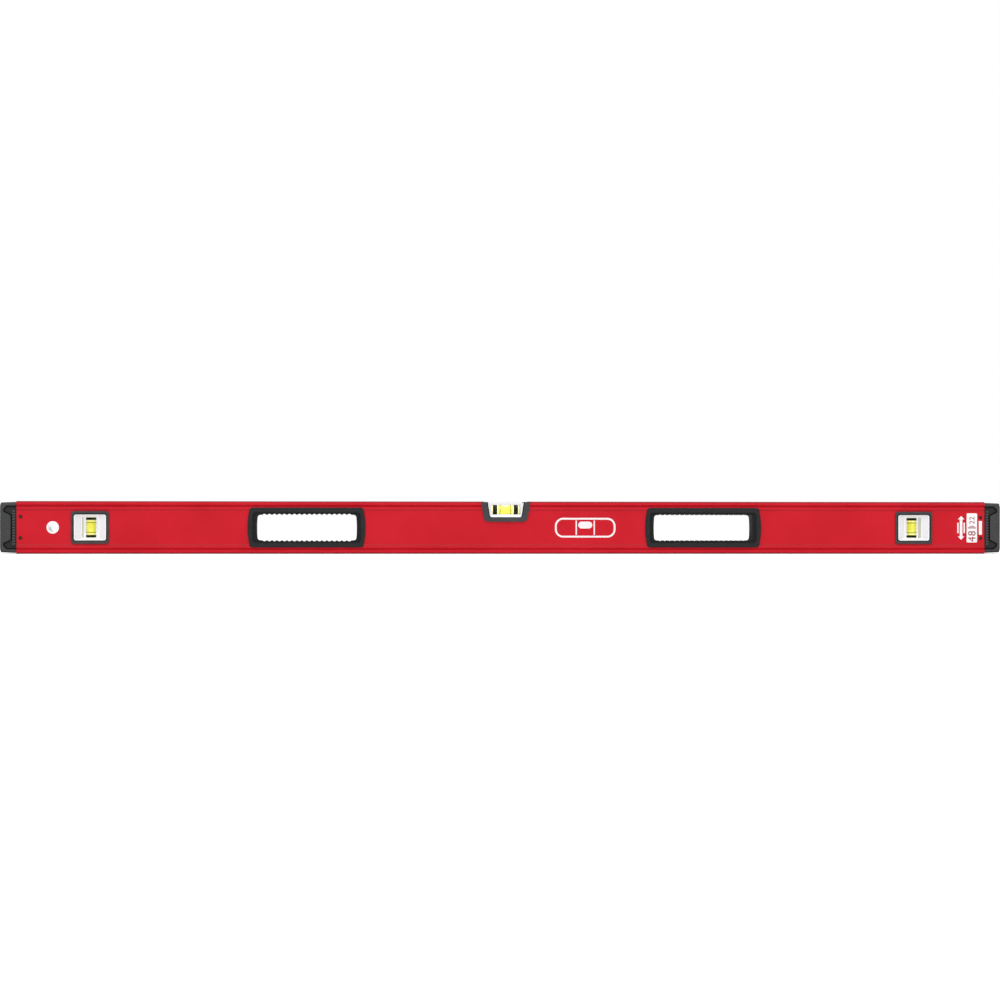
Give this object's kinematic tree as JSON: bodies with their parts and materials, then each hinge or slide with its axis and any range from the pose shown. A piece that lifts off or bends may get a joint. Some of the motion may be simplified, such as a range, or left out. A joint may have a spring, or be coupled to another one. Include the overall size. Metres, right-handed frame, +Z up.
{
  "type": "spirit level",
  "caption": "Box-section spirit level for carpentry with level and plumb vials, hand holes, a hang hole and removable rubber-covered end caps.",
  "frame": {"origin": "centre of the lower measuring face", "axes": "+X along the level to its right end (the end with the size label) seen from the front, +Z up, front towards -Y"},
  "size_m": [1.2192, 0.028, 0.0635],
  "materials": {
    "painted_beam": "red powder coat on extruded aluminium, milled bare on the two measuring faces",
    "bare_metal": "bright turned metal",
    "label": "printed white vinyl",
    "cap_plastic": "moulded dark grey plastic, fine texture",
    "cap_rubber": "overmoulded dark grey rubber",
    "pad_rubber": "dark grey anti-slip rubber",
    "spring_steel": "darkened spring steel",
    "grip_plastic": "moulded black plastic",
    "grip_rubber": "soft black rubber",
    "bezel_plastic": "moulded dark grey plastic",
    "clear_window": "clear polished acrylic",
    "white_plastic": "moulded white plastic",
    "vial_block": "clear polished acrylic",
    "vial_plug": "clear acrylic",
    "band_ink": "black printed bands and thin lines",
    "vial_liquid": "fluorescent yellow-green liquid",
    "bubble": "air"
  },
  "bodies": {
    "level": {"beam": "painted_beam", "centre_bezel_back": "bezel_plastic", "centre_bezel_front": "bezel_plastic", "centre_carrier": "white_plastic", "centre_lens_back": "clear_window", "centre_lens_front": "clear_window", "centre_level_bands": "band_ink", "centre_liquid": "vial_liquid", "centre_vial": "vial_block", "centre_vial_plug": "vial_plug", "hang_hole_eyelet": "bare_metal", "left_grip_back_shell": "grip_plastic", "left_grip_front_shell": "grip_plastic", "left_grip_liner": "grip_rubber", "left_plumb_bezel_back": "bezel_plastic", "left_plumb_bezel_front": "bezel_plastic", "left_plumb_carrier_back": "white_plastic", "left_plumb_carrier_front": "white_plastic", "left_plumb_lens_back": "clear_window", "left_plumb_lens_front": "clear_window", "left_plumb_level_bands": "band_ink", "left_plumb_liquid": "vial_liquid", "left_plumb_vial": "vial_block", "left_plumb_vial_plug": "vial_plug", "right_grip_back_shell": "grip_plastic", "right_grip_front_shell": "grip_plastic", "right_grip_liner": "grip_rubber", "right_plumb_bezel_back": "bezel_plastic", "right_plumb_bezel_front": "bezel_plastic", "right_plumb_carrier_back": "white_plastic", "right_plumb_carrier_front": "white_plastic", "right_plumb_lens_back": "clear_window", "right_plumb_lens_front": "clear_window", "right_plumb_level_bands": "band_ink", "right_plumb_liquid": "vial_liquid", "right_plumb_vial": "vial_block", "right_plumb_vial_plug": "vial_plug", "size_label": "label"},
    "left_cap": {"left_cap_bumper": "cap_rubber", "left_cap_core": "cap_plastic", "left_cap_end_pad": "pad_rubber", "left_cap_snap_clips": "spring_steel"},
    "right_cap": {"right_cap_bumper": "cap_rubber", "right_cap_core": "cap_plastic", "right_cap_end_pad": "pad_rubber", "right_cap_snap_clips": "spring_steel"},
    "centre_bubble": {"centre_bubble": "bubble"},
    "left_plumb_bubble": {"left_plumb_bubble": "bubble"},
    "right_plumb_bubble": {"right_plumb_bubble": "bubble"}
  },
  "joints": [
    {"name": "left_cap_slide", "type": "slide", "parent": "level", "child": "left_cap", "axis": [-1, 0, 0], "range_m": [0, 0.04], "deforming": ["left_cap_snap_clips"]},
    {"name": "right_cap_slide", "type": "slide", "parent": "level", "child": "right_cap", "axis": [1, 0, 0], "range_m": [0, 0.04], "deforming": ["right_cap_snap_clips"]},
    {"name": "centre_bubble_travel", "type": "slide", "parent": "level", "child": "centre_bubble", "axis": [1, 0, 0], "range_m": [-0.01, 0.01], "stiffness_N_per_m": 10, "deforming": ["centre_liquid"]},
    {"name": "left_plumb_bubble_travel", "type": "slide", "parent": "level", "child": "left_plumb_bubble", "axis": [0, 0, 1], "range_m": [-0.0261, 0], "stiffness_N_per_m": 10, "deforming": ["left_plumb_liquid"]},
    {"name": "right_plumb_bubble_travel", "type": "slide", "parent": "level", "child": "right_plumb_bubble", "axis": [0, 0, 1], "range_m": [-0.0261, 0], "stiffness_N_per_m": 10, "deforming": ["right_plumb_liquid"]}
  ]
}
